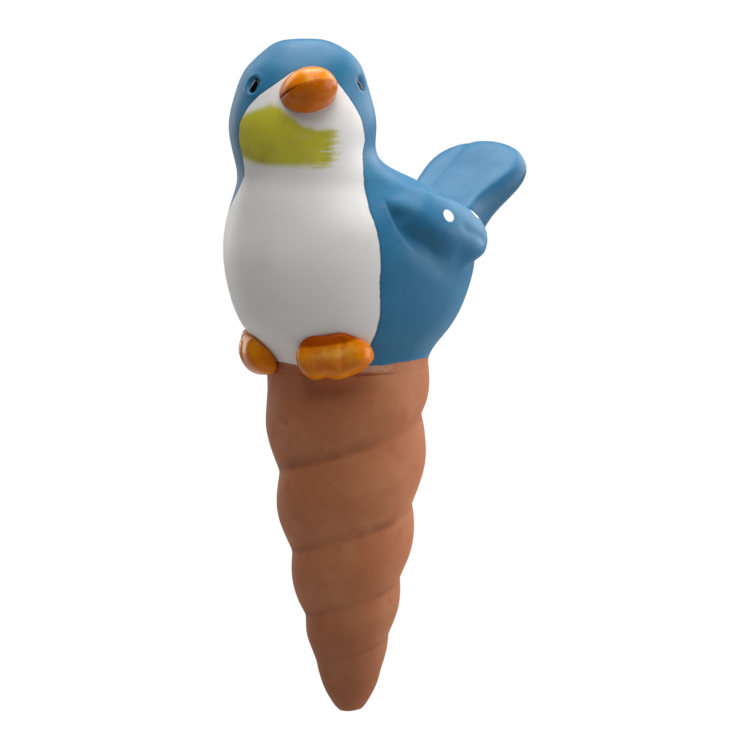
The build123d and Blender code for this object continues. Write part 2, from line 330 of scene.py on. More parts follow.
# Matt paint brushed on clay by hand: soft sheen, unsteady edges with a dark border, white dots, a wavy hem
def birdPaint():
    material, add, place = newMaterial("mattPaintOnClay")
    slowNoise = add("TexNoise", {"Vector": place, "Scale": 1 / (8 * mm)})
    slow = add("Math", {0: slowNoise, 1: 0.5}, "SUBTRACT")
    quickNoise = add("TexNoise", {"Vector": place, "Scale": 1 / (1.2 * mm)})
    quick = add("Math", {0: quickNoise, 1: 0.5}, "SUBTRACT")

    # The white front's edge, in millimetres, wanders slowly and shakes quickly
    whiteSide = add("Attribute", attribute_name="whiteSide").outputs["Fac"]
    side = add("Math", {0: slow, 1: 0.6, 2: whiteSide}, "MULTIPLY_ADD")
    side = add("Math", {0: quick, 1: 0.3, 2: side}, "MULTIPLY_ADD")
    front = add("MapRange", {"Value": side, "From Min": -0.15, "From Max": 0.15}, **ease)
    offEdge = add("Math", {0: side, 1: 0.25}, "ADD")
    offEdge = add("Math", {0: offEdge}, "ABSOLUTE")
    border = add("MapRange", {"Value": offEdge, "From Min": 0.5, "From Max": 0.0, "To Max": 0.5}, **ease)
    dot = add("Attribute", attribute_name="dot").outputs["Fac"]
    dot = add("Math", {0: quick, 1: 0.25, 2: dot}, "MULTIPLY_ADD")
    dots = add("MapRange", {"Value": dot, "From Min": -0.1, "From Max": 0.1}, **ease)
    hem = add("Attribute", attribute_name="hem").outputs["Fac"]
    hem = add("Math", {0: slow, 1: 3.2, 2: hem}, "MULTIPLY_ADD")
    hem = add("Math", {0: quick, 1: 0.4, 2: hem}, "MULTIPLY_ADD")
    bare = add("MapRange", {"Value": hem, "From Min": 0.15, "From Max": -0.1}, **ease)
    coats = (
        (front, whiteCoat(add, place, slow)),
        (border, bluePaint["shadow"]),
        (dots, whitePaint["main"]),
        (bare, hemClay(add, place, slow, quick)),
    )
    base = layered(add, blueCoat(add, place), coats)

    mottled = add("TexNoise", {"Vector": place, "Scale": 1 / (4 * mm)})
    paintRough = add("MapRange", {"Value": mottled, "To Min": 0.42, "To Max": 0.55})
    rough = add("Math", {0: bare, 1: 0.2, 2: paintRough}, "MULTIPLY_ADD")
    finishMaterial(add, base, rough, paintShine, clayBump(add, place), 0.1)
    return material


# Satin orange paint, brushed on: small bright highlights, painted shade with some paint pooling where the
# deep share is, a painted highlight along the beak and feet, and rubbed off to the clay along the feet's
# lower edge
def orangeGloss():
    material, add, place = newMaterial("satinOrangePaint")
    upright = add("Mapping", {"Vector": place, "Scale": (1.0, 1.0, 0.5)})
    brushed = add("TexNoise", {"Vector": upright, "Scale": 1 / (2.5 * mm), "Detail": 3.0})
    streaks = add("MapRange", {"Value": brushed, "From Min": 0.35, "From Max": 0.7}, **ease)
    # Deep share: painted shade under the lower beak, in the mouth, on top of the foot under the belly and in
    # a band low on the foot, over a slightly deeper tone
    deep = add("Attribute", attribute_name="deep").outputs["Fac"]
    # Painted highlight: paler orange along the upper beak's top and across the feet's fronts
    thinPaintAndHighlight = add("Attribute", attribute_name="thinPaintAndHighlight").outputs["Fac"]
    patchy = add("TexNoise", {"Vector": place, "Scale": 1 / (2.5 * mm), "Detail": 3.0})
    thinPaintAndHighlight = add("Math", {0: thinPaintAndHighlight, 1: patchy}, "ADD")
    thinPaintAndHighlight = add("MapRange", {"Value": thinPaintAndHighlight, "From Min": 0.7, "From Max": 1.4, "To Max": 0.8}, **ease)
    bare = add("Attribute", attribute_name="bare").outputs["Fac"]
    mottled = add("TexNoise", {"Vector": place, "Scale": 1 / (2 * mm)})
    worn = add("Math", {0: bare, 1: mottled}, "ADD")
    worn = add("MapRange", {"Value": worn, "From Min": 0.9, "From Max": 1.1}, **ease)
    coats = (
        (streaks, orangePaint["light"]),
        (deep, orangePaint["deep"]),
        (thinPaintAndHighlight, orangePaint["thinPaintAndHighlight"]),
        (worn, clay["light"]),
    )
    base = layered(add, orangePaint["main"], coats)

    rough = add("MapRange", {"Value": mottled, "To Min": 0.16, "To Max": 0.26})
    shine = add("MapRange", {"Value": deep, "To Min": orangeShine["open"], "To Max": orangeShine["pooledPaintAndShade"]})
    finishMaterial(add, base, rough, shine, clayBump(add, place), 0.15)
    return material


# Black gloss paint, dabbed on: a dark oval with a sharp glint, and blue paint lapping over its sides
def eyeGloss():
    material, add, place = newMaterial("blackGlossPaint")
    fine = add("TexNoise", {"Vector": place, "Scale": 1 / (0.3 * mm)})
    specks = add("MapRange", {"Value": fine, "From Min": 0.55, "From Max": 0.8}, **ease)
    fromMiddle = add("Attribute", attribute_name="lid").outputs["Fac"]
    lid = add("MapRange", {"Value": fromMiddle, "From Min": 0.9, "From Max": 1.1}, **ease)
    base = layered(add, blackPaint["main"], ((specks, blackPaint["worn"]), (lid, bluePaint["deep"])))
    mottled = add("TexNoise", {"Vector": place, "Scale": 1 / (0.5 * mm)})
    dull = add("Math", {0: lid, 1: 2.0, 2: mottled}, "MULTIPLY_ADD")
    rough = add("MapRange", {"Value": dull, "To Min": 0.12, "To Max": 0.22})
    ripples = add("TexNoise", {"Vector": place, "Scale": 1 / (0.4 * mm)})
    finishMaterial(add, base, rough, blackShine, ripples, 0.03)
    return material


print("stage: materials")
terracottaSkin = terracotta()
birdSkin = birdPaint()
orangeSkin = orangeGloss()
eyeSkin = eyeGloss()


# Bird shell: body, head, wings and tail flow into each other as one clay form, then part into named pieces.
# Lengths are in millimetres, turns in degrees. A pair of bounds says where a share is none and where full

shell = {
    "nodes": {
        "bird_body": "birdBody",
        "bird_head": "birdHead",
        "left_wing": "leftWing",
        "right_wing": "rightWing",
        "tail": "tailPaddle",
    },
    "voxel": 0.6,
    "softRounds": 5,
    "neckHeight": 58.0,
    "neckWidth": 6.0,
    "neckRounds": 80,
    "neckLeast": 50.0,
    "leastPatch": 1500,
    "seatDepth": 1.8,
    "crown": (79.0, 83.0),
    "crownRounds": 60,
    "crownSwell": {"at": (11.5, -9.6, 81.5), "height": 1.7, "width": 6.5, "headMiddle": 70.0},
    "rear": (-14.0, -8.0),
    "rearRounds": 6,
    "bodyMiddle": 30.0,
    "rimRadius": 21.66,
    "lip": {"height": 1.0, "width": 1.6, "asideShare": 0.05, "uprightShare": 0.2},
    "level": (2.2, 0.8),
    "levelWidth": 0.8,
    "hemHeight": 2.8,
    "slip": {"start": (45, 56), "end": (98, 62), "above": (0.3, 1.2), "crack": 0.1, "crackWidth": 0.35},
    "whiteTop": 79.0,
    "dots": [(31.0, 7.1, 40.8), (27.1, 20.2, 40.5)],
    "dotRadius": 2.0,
    # Height and turn of the white front's edges
    "leftEdge": [
        (5, 105), (9, 98), (25, 92.5), (43, 92), (54, 100), (61, 106), (67, 100), (72, 91), (77, 80),
        (80, 52),
    ],
    "rightEdge": [
        (5, -95), (25, -88), (36, -70), (42, -52), (47, -32), (52, -17), (57, -12), (62, -11), (66, -8),
        (70, 0), (73, 10), (76, 25), (80, 45),
    ],
}
throat = {
    # Turn and height of its upper and lower edges
    "top": [(-10, 67.5), (5, 69.4), (22, 71.3), (30, 70.5), (40, 68), (50, 65.6), (60, 64.7)],
    "low": [(-10, 56.5), (0, 55.4), (15, 54.9), (40, 54.7), (60, 54.4), (80, 55)],
    "belowTop": (1.4, -2.2),
    "aboveLow": (-1.4, 2.0),
    "start": (-26, -12),
    "end": (88, 60),
    "dry": (30, 66),
}
wing = {
    # Corners of lines on the wing seen from the side: distance behind the spike's axis, height
    "lowEdge": [
        (-4, 51), (-9, 49.5), (-11.5, 45), (-8.8, 38.1), (-4.4, 33.3), (2.1, 28.8), (9, 27.6), (17, 28.8),
    ],
    "slope": (10.0, 0.0),
    "slopeRear": (18.0, 9.0),
    "crease": [(-9.9, 46.3), (-8.8, 38.1), (-4.4, 33.3), (2.1, 28.8)],
    "creaseHalf": {"front": 0.9, "added": 2.5, "below": (38.0, 31.0)},
    "hollow": (9.0, 1.5),
    "hollowRear": (12.0, 0.0),
    "hollowTop": (47.0, 42.0),
    "hollowDepth": 2.0,
    "belly": [(-2, 31.6), (2.1, 28.8), (9, 27.6), (17, 28.8)],
    "bellyWidth": 2.5,
    "topEdge": [(-8, 50), (4, 48.7), (18, 43.5), (24, 39)],
    "topWidth": 3.0,
    "edgeRounds": 60,
    "feather": [(19.5, 34.3), (16.4, 35.7), (12, 37.8)],
    "featherDepth": 0.45,
    "featherWidth": 1.2,
    "tip": (15.6, 31.9),
    "tipSwell": 0.7,
    "tipWidth": 4.5,
    "leastAside": 14.0,
    "rearmost": 32.0,
}
tail = {
    "root": (3.4, 24.0, 34.5),
    "rise": 33.0,
    "roll": 4.0,
    "turn": 9.5,
    "leastFacing": 0.1,
    # Fuller middle, lower left edge, crease and lifted end
    "forms": [
        {"aside": 0.0, "width": 6.0, "push": 0.5, "out": (8.0, 14.0)},
        {"aside": -14.0, "width": 3.5, "push": -0.6, "out": (8.0, 14.0)},
        {"aside": 7.0, "width": 1.0, "push": -0.35, "out": (8.0, 14.0)},
        {"aside": 1.0, "width": 9.0, "push": 1.1, "out": (24.0, 36.0)},
    ],
    "poolAndShadeAside": (9.0, 12.0),
    "poolAndShadeFacing": (0.8, 0.3),
    "poolAndShadeOut": (6.0, 10.0),
}
eyeRim = {"radius": 2.9, "width": 0.6, "height": 0.3}


# Distance from points to a line with those corners, less than zero on the right of its way
def lineAway(across, height, corners):
    best = np.full(len(across), 1e9)
    for (startA, startH), (endA, endH) in zip(corners, corners[1:]):
        runA, runH = endA - startA, endH - startH
        share = ((across - startA) * runA + (height - startH) * runH) / (runA ** 2 + runH ** 2)
        share = np.clip(share, 0, 1)
        away = np.hypot(across - startA - share * runA, height - startH - share * runH)
        away = np.where(runA * (height - startH) < runH * (across - startA), -away, away)
        best = np.where(np.abs(away) < np.abs(best), away, best)
    return best


def bell(away, width):
    return np.exp(-((away / width) ** 2))


# Points on the outside of the flanks
def onFlank(points, normals):
    x, y, z = (points / mm).T
    outer = (normals[:, 0] * x + normals[:, 1] * y + normals[:, 2] * (z - shell["bodyMiddle"])) > 0
    return outer & (np.abs(x) > wing["leastAside"]) & (y < wing["rearmost"])


# Places on the tail: distance out along it, distance aside from its middle, and how far they face up
def tailPlace(points, normals):
    swing = Matrix.Rotation(math.radians(tail["turn"]), 3, "Z")
    swing = Matrix.Rotation(math.radians(tail["roll"]), 3, "Y") @ swing
    rise = math.radians(tail["rise"])
    aside = np.array(swing @ Vector((-1, 0, 0)))
    along = np.array(swing @ Vector((0, math.cos(rise), math.sin(rise))))
    above = np.cross(along, aside)
    local = points / mm - np.array(tail["root"])
    return local @ along, local @ aside, normals @ above


# Share of the tail's thick edges, which face down: painted shade there, with some paint pooling
def tailSide(points, normals):
    out, over, facing = tailPlace(points, normals)
    beside = soft(np.abs(over), *tail["poolAndShadeAside"])
    return beside * soft(facing, *tail["poolAndShadeFacing"]) * soft(out, *tail["poolAndShadeOut"])


# Share of the hollow below a wing's ridge
def wingHollow(points):
    x, y, z = (points / mm).T
    away = lineAway(y, z, wing["crease"])
    half = wing["creaseHalf"]["front"] + wing["creaseHalf"]["added"] * soft(z, *wing["creaseHalf"]["below"])
    hollow = soft(away, -half, half) * soft(away, *wing["hollow"])
    hollow = hollow * soft(y, *wing["hollowRear"]) * soft(z, *wing["hollowTop"])
    return hollow * (np.abs(x) > wing["leastAside"])


# How far each point of the shell is pushed out to cut the wings' creases and feather and shape crown and tail
def carving(points, normals):
    x, y, z = (points / mm).T
    flank = onFlank(points, normals)
    raised = np.zeros(len(points))
    raised[flank] = nodeAway(points[flank], "bird_body")
    away = np.abs(lineAway(y, z, wing["lowEdge"]))
    push = -raised * soft(away, *wing["slope"]) * soft(y, *wing["slopeRear"])
    push = push - wing["hollowDepth"] * wingHollow(points)
    push = push - wing["featherDepth"] * bell(lineAway(y, z, wing["feather"]), wing["featherWidth"])
    fromTip = np.hypot(y - wing["tip"][0], z - wing["tip"][1])
    push = np.where(flank, push + wing["tipSwell"] * bell(fromTip, wing["tipWidth"]), 0.0)

    swell = shell["crownSwell"]
    away = np.linalg.norm(points / mm - swell["at"], axis=1)
    outer = normals @ np.array(swell["at"]) > normals @ np.array((0, headAxisY, swell["headMiddle"]))
    push = push + np.where(outer, swell["height"] * bell(away, swell["width"]), 0.0)

    for node in ("left_eye", "right_eye"):
        corners = meshPoints(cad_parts[node].data)
        away = np.linalg.norm(points - (corners.min(axis=0) + corners.max(axis=0)) / 2, axis=1) / mm
        push = push + eyeRim["height"] * bell(away - eyeRim["radius"], eyeRim["width"])

    out, over, facing = tailPlace(points, normals)
    for form in tail["forms"]:
        shape = form["push"] * bell(over - form["aside"], form["width"]) * soft(out, *form["out"])
        push = push + np.where(facing > tail["leastFacing"], shape, 0.0)
    return push


def edgeTurn(corners, at):
    places, values = zip(*corners)
    return np.interp(at, places, values)


def shellFields(mesh, points):
    x, y, z = (points / mm).T
    turn = np.degrees(np.arctan2(x, headAxisY - y))
    reach = np.hypot(x, headAxisY - y)
    inLeft = edgeTurn(shell["leftEdge"], z) - turn
    inRight = turn - edgeTurn(shell["rightEdge"], z)
    white = np.radians(np.minimum(inLeft, inRight)) * reach
    setField(mesh, "whiteSide", np.minimum(white, shell["whiteTop"] - z))
    setField(mesh, "hem", z - shell["hemHeight"])
    slip = shell["slip"]
    yaw = np.degrees(np.arctan2(x, -y))
    besideFoot = soft(yaw, *slip["start"]) * soft(yaw, *slip["end"])
    setField(mesh, "smear", soft(z, *slip["above"]) * besideFoot)
    setField(mesh, "crack", bell(z - slip["crack"], slip["crackWidth"]) * besideFoot)
    dot = np.full(len(x), -9.0)
    for side in (1, -1):
        for spotX, spotY, spotZ in shell["dots"]:
            away = np.sqrt((x - side * spotX) ** 2 + (y - spotY) ** 2 + (z - spotZ) ** 2)
            dot = np.maximum(dot, shell["dotRadius"] - away)
    setField(mesh, "dot", dot)
    # Share of painted shade in the wing hollows and on the tail's sides, with some paint pooling
    setField(mesh, "pooledPaintAndShade", np.maximum(wingHollow(points), tailSide(points, meshNormals(mesh))))
    brushed = soft(turn, *throat["start"]) * soft(turn, *throat["end"])
    brushed = brushed * soft(z - edgeTurn(throat["top"], turn), *throat["belowTop"])
    brushed = brushed * soft(z - edgeTurn(throat["low"], turn), *throat["aboveLow"])
    setField(mesh, "throat", brushed)
    setField(mesh, "dryEnd", soft(turn, *throat["dry"]))


# Softens the outside of the flanks along a line
def softenAlong(mesh, points, edges, line, width):
    away = lineAway(points[:, 1] / mm, points[:, 2] / mm, line)
    blend = np.where(onFlank(points, meshNormals(mesh)), 0.5 * bell(away, width), 0.0)
    return relax(points, edges, blend, wing["edgeRounds"])


def buildShell():
    mesh = remeshed(joinedCopy(shell["nodes"]), shell["voxel"])
    points = meshPoints(mesh)
    edges = meshEdges(mesh)
    height = points[:, 2] / mm
    points = relax(points, edges, np.full(len(points), 0.5), shell["softRounds"])
    neck = bell(height - shell["neckHeight"], shell["neckWidth"])
    points = relax(points, edges, 0.5 * neck, shell["neckRounds"])
    points = relax(points, edges, 0.5 * soft(height, *shell["crown"]), shell["crownRounds"])
    setPoints(mesh, points)
    points = softenAlong(mesh, points, edges, wing["topEdge"], wing["topWidth"])

    # The lower edge runs down into the spike's rim without a step, and its points stay a little apart
    lip = shell["lip"]
    reach = np.hypot(points[:, 0], points[:, 1]) / mm
    low = (points[:, 2] / mm < lip["height"]) & (reach > shell["rimRadius"] - lip["width"])
    pulled = shell["rimRadius"] + lip["asideShare"] * (reach[low] - shell["rimRadius"])
    points[low, :2] *= (pulled / reach[low])[:, None]
    points[low, 2] = lip["uprightShare"] * (points[low, 2] - lip["height"] * mm)
    setPoints(mesh, points)

    normals = meshNormals(mesh)
    points = points + normals * carving(points, normals)[:, None] * mm
    points = relax(points, edges, 0.4 * soft(points[:, 1] / mm, *shell["rear"]), shell["rearRounds"])
    setPoints(mesh, points)
    points = softenAlong(mesh, points, edges, wing["belly"], wing["bellyWidth"])
    setPoints(mesh, points)
    shellFields(mesh, points)
    print("shell:", len(mesh.vertices), "points,", len(mesh.polygons), "faces")
    return mesh


# The shell's normals, turned level at its lower edge, so that its shade runs on into the spike's
def rimNormals(mesh):
    normals = meshNormals(mesh)
    points = meshPoints(mesh)
    reach = np.hypot(points[:, 0], points[:, 1]) / mm
    level = points * (1, 1, 0) / np.maximum(reach, 1)[:, None] / mm
    share = soft(points[:, 2] / mm, *shell["level"]) * (reach > shell["rimRadius"] - shell["levelWidth"])
    normals = normals + share[:, None] * (level - normals)
    return normals / np.linalg.norm(normals, axis=1)[:, None]


# Connected patches of faces with one owner, each with the owners round it
def ownedPatches(work, owner):
    seen = set()
    for start in work.faces:
        if start.index in seen:
            continue
        seen.add(start.index)
        patch, border, todo = [], [], [start]
        while todo:
            face = todo.pop()
            patch.append(face.index)
            for other in (other for edge in face.edges for other in edge.link_faces):
                if owner[other.index] != owner[start.index]:
                    border.append(owner[other.index])
                elif other.index not in seen:
                    seen.add(other.index)
                    todo.append(other)
        yield patch, border


# Each face belongs to the piece whose CAD node is nearest. Where pieces touch at a corner only, its faces
# go to one of them, and small patches go to the piece round them. A closed bubble in the wall goes to none
def faceOwners(mesh, names):
    trees = [nodeTree(name) for name in names]
    owner = [int(np.argmin([tree.find_nearest(face.center)[3] for tree in trees])) for face in mesh.polygons]
    work = bmesh.new()
    work.from_mesh(mesh)
    work.faces.ensure_lookup_table()
    for _ in range(4):
        for vert in work.verts:
            owners = [owner[face.index] for face in vert.link_faces]
            changes = [len({owner[face.index] for face in edge.link_faces}) > 1 for edge in vert.link_edges]
            if sum(changes) > 3:
                for face in vert.link_faces:
                    owner[face.index] = max(owners, key=owners.count)
        for patch, border in ownedPatches(work, owner):
            if len(patch) < shell["leastPatch"]:
                for index in patch:
                    owner[index] = max(border, key=border.count, default=-1)
    work.free()
    return owner


# Rows of open edges that hang together
def openLoops(work):
    seen = set()
    for start in [edge for edge in work.edges if edge.is_boundary]:
        if start in seen:
            continue
        seen.add(start)
        loop, todo = [], [start]
        while todo:
            edge = todo.pop()
            loop.append(edge)
            for other in (other for vert in edge.verts for other in vert.link_edges):
                if other.is_boundary and other not in seen:
                    seen.add(other)
                    todo.append(other)
        yield loop


# Closes a parted piece: a ring between the two edges of the hollow neck, a dish under a wing or the tail
def closeCuts(work, home, normals):
    neck = []
    for loop in list(openLoops(work)):
        rim = list(dict.fromkeys(vert for edge in loop for vert in edge.verts))
        middle = sum((vert.co for vert in rim), Vector()) / len(rim)
        if middle.z > shell["neckLeast"] * mm:
            neck.extend(loop)
            continue
        seat = {}
        for vert in rim:
            seat[vert] = work.verts.new(vert.co - Vector(normals[vert[home]]) * shell["seatDepth"] * mm)
            seat[vert][home] = vert[home]
        seatMiddle = sum((vert.co for vert in seat.values()), Vector()) / len(rim)
        centre = work.verts.new((middle + seatMiddle) / 2)
        centre[home] = rim[0][home]
        for first, second in (edge.verts for edge in loop):
            work.faces.new((first, second, seat[second], seat[first]))
            work.faces.new((seat[first], seat[second], centre))
    if neck:
        bmesh.ops.bridge_loops(work, edges=neck)
    bmesh.ops.recalc_face_normals(work, faces=work.faces)


def partShell(mesh):
    names = list(shell["nodes"])
    owner = faceOwners(mesh, names)
    normals = rimNormals(mesh)
    for index, node in enumerate(names):
        part = mesh.copy()
        work = bmesh.new()
        work.from_mesh(part)
        home = work.verts.layers.int.new("home")
        for vert in work.verts:
            vert[home] = vert.index
        others = [face for face in work.faces if owner[face.index] != index]
        bmesh.ops.delete(work, geom=others, context="FACES")
        bmesh.ops.dissolve_degenerate(work, edges=work.edges, dist=0.005 * mm)
        closeCuts(work, home, normals)
        homes = [vert[home] for vert in work.verts]
        work.verts.layers.int.remove(home)
        work.to_mesh(part)
        work.free()
        placePiece(shell["nodes"][node], part, birdSkin, node, "blue_paint")
        part.normals_split_custom_set_from_vertices(normals[homes])


print("stage: bird shell")
partShell(buildShell())


# Beak, eyes and feet: softened copies of their solids

# The mouth's dark line is painted shade, and the upper beak's pale band a painted highlight
beak = {
    "mouth": (54.0, 38.0), "mouthWidth": 0.9, "mouthFill": 0.18, "fillWidth": 0.5, "mouthShade": 0.9,
    "lineWidth": 0.7, "thinPaintAndHighlight": 0.4, "highlightAway": 3.2, "highlightWidth": 1.2,
}
# The pale band across each foot's front is a painted highlight; the shade keys give painted shade
foot = {
    "grooves": (-12.5, 5.0),  # degrees round from the middle of a foot
    "grooveDepth": 0.35, "grooveWidth": 1.5, "grooveAbove": (1.0, 3.0), "grooveFill": 0.8, "fillWidth": 5.0,
    "edgewise": (0.3, 0.8), "softRounds": 10, "sole": (4.0, 1.0), "soleRounds": 60,
    "corner": (0.0, 22.0), "cornerBelow": (6.0, 1.0), "instepSlant": 0.07, "instepEdge": (-0.4, 0.6),
    "deep": 0.05, "shade": 0.35, "shadeHeight": 3.4, "shadeWidth": 1.5, "bare": (0.2, -0.6),
    "thinPaintAndHighlight": 0.9, "highlightHeight": 6.8, "highlightWidth": 1.5, "highlightSlant": 0.05, "highlightAside": 2.0, "highlightTurn": 13.0,
}
eye = {"oval": (1.5, 1.95), "lean": 0.35, "dome": 0.5, "domeEdge": 1.2}
orangeTrim = {"skin": orangeSkin, "slot": "orange_paint"}
blackTrim = {"skin": eyeSkin, "slot": "black_paint"}
trim = {
    # The lower beak's deep share is painted shade on its underside; the upper beak's is a slightly deeper
    # tone
    "upper_beak": {"name": "upperBeak", "voxel": 0.25, "rounds": 3, "tuck": 0.1, "deep": 0.12, **orangeTrim},
    "lower_beak": {"name": "lowerBeak", "voxel": 0.25, "rounds": 3, "tuck": 0.2, "deep": 0.6, **orangeTrim},
    "left_foot": {
        "name": "leftFoot", "voxel": 0.3, "rounds": 140, "yaw": 40.0, "instep": 8.7, "swell": 0.75,
        "cornerRise": 1.5, "cornerAside": -0.3, **orangeTrim,
    },
    "right_foot": {
        "name": "rightFoot", "voxel": 0.3, "rounds": 140, "yaw": -34.0, "instep": 10.5, "swell": 0.4,
        "cornerRise": -1.2, "cornerAside": 2.0, **orangeTrim,
    },
    "left_eye": {"name": "leftEye", "voxel": 0.1, "rounds": 6, **blackTrim},
    "right_eye": {"name": "rightEye", "voxel": 0.1, "rounds": 6, **blackTrim},
}


# The mouth is a groove beside the other half of the beak, filled up towards the bird's left
def shapeBeak(mesh, points, node, piece):
    away = nodeAway(points, "lower_beak" if node == "upper_beak" else "upper_beak")
    turn = np.degrees(np.arctan2(points[:, 0], headAxisY * mm - points[:, 1]))
    mouth = soft(turn, *beak["mouth"])
    tuck = piece["tuck"] * mouth * bell(away, beak["mouthWidth"])
    tuck = tuck - beak["mouthFill"] * (1 - mouth) * bell(away, beak["fillWidth"])
    setPoints(mesh, points - meshNormals(mesh) * tuck[:, None] * mm)
    # Painted shade: the lower beak darker all over, and a dark line along the mouth
    deep = np.maximum(piece["deep"], beak["mouthShade"] * mouth * bell(away, beak["lineWidth"]))
    # Painted highlight: a pale band along the upper beak's top
    thinPaintAndHighlight = beak["thinPaintAndHighlight"] * bell(away - beak["highlightAway"], beak["highlightWidth"]) * (node == "upper_beak")
    return {"deep": deep, "thinPaintAndHighlight": thinPaintAndHighlight}


# A foot swells, its corner moves, and fine grooves part its toes
def shapeFoot(mesh, points, edges, piece):
    height = points[:, 2] / mm
    swing = np.degrees(np.arctan2(points[:, 0], -points[:, 1])) - piece["yaw"]
    normals = meshNormals(mesh)
    edgewise = soft(np.abs(normals[:, 2]), *foot["edgewise"])
    push = np.full(len(points), piece["swell"])
    for groove in foot["grooves"]:
        push = push + foot["grooveFill"] * edgewise * bell(swing - groove, foot["fillWidth"])
    evenly = np.full(len(points), 0.5)
    points = relax(points + normals * push[:, None] * mm, edges, evenly, foot["softRounds"])
    points = relax(points, edges, 0.5 * soft(height, *foot["sole"]), foot["soleRounds"])
    corner = soft(swing, *foot["corner"]) * soft(height, *foot["cornerBelow"]) * mm
    yaw = np.radians(swing + piece["yaw"])
    points[:, 0] += piece["cornerAside"] * corner * np.cos(yaw)
    points[:, 1] += piece["cornerAside"] * corner * np.sin(yaw)
    points[:, 2] += piece["cornerRise"] * corner
    points = relax(points, edges, evenly, foot["softRounds"])
    for groove in foot["grooves"]:
        cut = foot["grooveDepth"] * (1 - edgewise) * bell(swing - groove, foot["grooveWidth"])
        cut = cut * soft(height, *foot["grooveAbove"])
        points = points - normals * cut[:, None] * mm
    setPoints(mesh, points)
    # Painted shade on top of the foot under the belly and in a band low on the foot, over a slightly deeper
    # tone
    instep = soft(height - foot["instepSlant"] * swing - piece["instep"], *foot["instepEdge"])
    shade = foot["deep"] + foot["shade"] * bell(height - foot["shadeHeight"], foot["shadeWidth"])
    # Painted highlight: a pale band across the foot's front
    above = bell(height - foot["highlightSlant"] * swing - foot["highlightHeight"], foot["highlightWidth"])
    thinPaintAndHighlight = foot["thinPaintAndHighlight"] * above * bell(swing - foot["highlightAside"], foot["highlightTurn"])
    return {"deep": np.maximum(shade, instep), "bare": soft(height, *foot["bare"]), "thinPaintAndHighlight": thinPaintAndHighlight}


# An eye's black oval is domed and leans with the face
def shapeEye(mesh, points):
    middle = (points.min(axis=0) + points.max(axis=0)) / 2
    offset = (points - middle) / mm
    outwards = middle - np.array((0, headAxisY * mm, middle[2]))
    outwards = outwards / np.linalg.norm(outwards)
    headFront = np.array((math.sin(math.radians(headTurn)), -math.cos(math.radians(headTurn)), 0))
    forward = headFront - (headFront @ outwards) * outwards
    aside = offset @ (forward / np.linalg.norm(forward)) - eye["lean"] * offset[:, 2]
    lid = np.hypot(aside / eye["oval"][0], offset[:, 2] / eye["oval"][1])
    dome = np.clip(eye["domeEdge"] - lid, 0, 1) * (offset @ outwards > 0)
    setPoints(mesh, points + dome[:, None] * outwards * eye["dome"] * mm)
    return {"lid": lid}


def buildTrim(node, piece):
    mesh = remeshed(joinedCopy([node]), piece["voxel"])
    points = meshPoints(mesh)
    edges = meshEdges(mesh)
    points = relax(points, edges, np.full(len(points), 0.5), piece["rounds"])
    setPoints(mesh, points)
    if "beak" in node:
        fields = shapeBeak(mesh, points, node, piece)
    elif "foot" in node:
        fields = shapeFoot(mesh, points, edges, piece)
    else:
        fields = shapeEye(mesh, points)
    for name, values in fields.items():
        setField(mesh, name, values)
    placePiece(piece["name"], mesh, piece["skin"], node, piece["slot"])


print("stage: beak, eyes and feet")
for node, piece in trim.items():
    buildTrim(node, piece)


# Spike: one scalloped groove that winds down an ogive, with the tank inside, made by rule

spike = {
    "Length": 93.6 * mm,
    "Rim Radius": 20.3 * mm,
    "Wall": 4.2 * mm,
    "Tank Depth": 75.0 * mm,
    "Ogive Length": 110.0 * mm,
    "Ogive Power": 1.75,
    "Tip Radius": 2.4 * mm,
    "Tip Round": 8.6 * mm,
    "Pitch Per Radius": 1.3,
    "Scallop": 0.13,
    "Rim Swell": 0.6,
    "Crease": 0.1,
    "Crest Gain": 1.1,
    "Line Width": 1 / 30,
    "Line Share": 0.6,
    "Shade Width": 1 / 7,
    "Shade Share": 0.5,
    "Fade Start": 70.0 * mm,
    "Fade End": 84.0 * mm,
    "Start": math.radians(246),
    "Lean": math.tan(math.radians(4.3)),
    "Lean Toward": math.radians(228),
    "Lean Run": 14.0 * mm,
    "Lumps": 0.5 * mm,
    "Lump Size": 14.0 * mm,
    "Columns": 240,
    "Rows": 380,
}
# Shares of the sheet's rows at which its floor, tank wall, rim and outside end. The tip has the rest
rowsEnd = {"floor": 0.01, "tank": 0.15, "rim": 0.17, "outside": 0.97}


# Radius at the bottom of the groove, an ogive with a blunt end, and how far that is over the tip's radius
def spikeProfile(add, given, depth):
    taper = add("Math", {0: depth, 1: given["Ogive Length"]}, "DIVIDE")
    taper = add("Math", {0: taper, 1: given["Ogive Power"]}, "POWER")
    remaining = add("Math", {0: 1.0, 1: taper}, "SUBTRACT")
    ogive = add("Math", {0: given["Rim Radius"], 1: remaining}, "MULTIPLY")
    toEnd = add("Math", {0: given["Length"], 1: depth}, "SUBTRACT")
    intoTip = add("MapRange", {"Value": toEnd, "From Max": given["Tip Round"], "To Min": 1.0, "To Max": 0.0})
    squared = add("Math", {0: intoTip, 1: 2.0}, "POWER")
    blunt = add("Math", {0: 1.0, 1: squared}, "SUBTRACT")
    blunt = add("Math", {0: blunt}, "SQRT")
    over = add("Math", {0: ogive, 1: given["Tip Radius"]}, "SUBTRACT")
    over = add("Math", {0: over, 1: blunt}, "MULTIPLY")
    return add("Math", {0: given["Tip Radius"], 1: over}, "ADD"), over


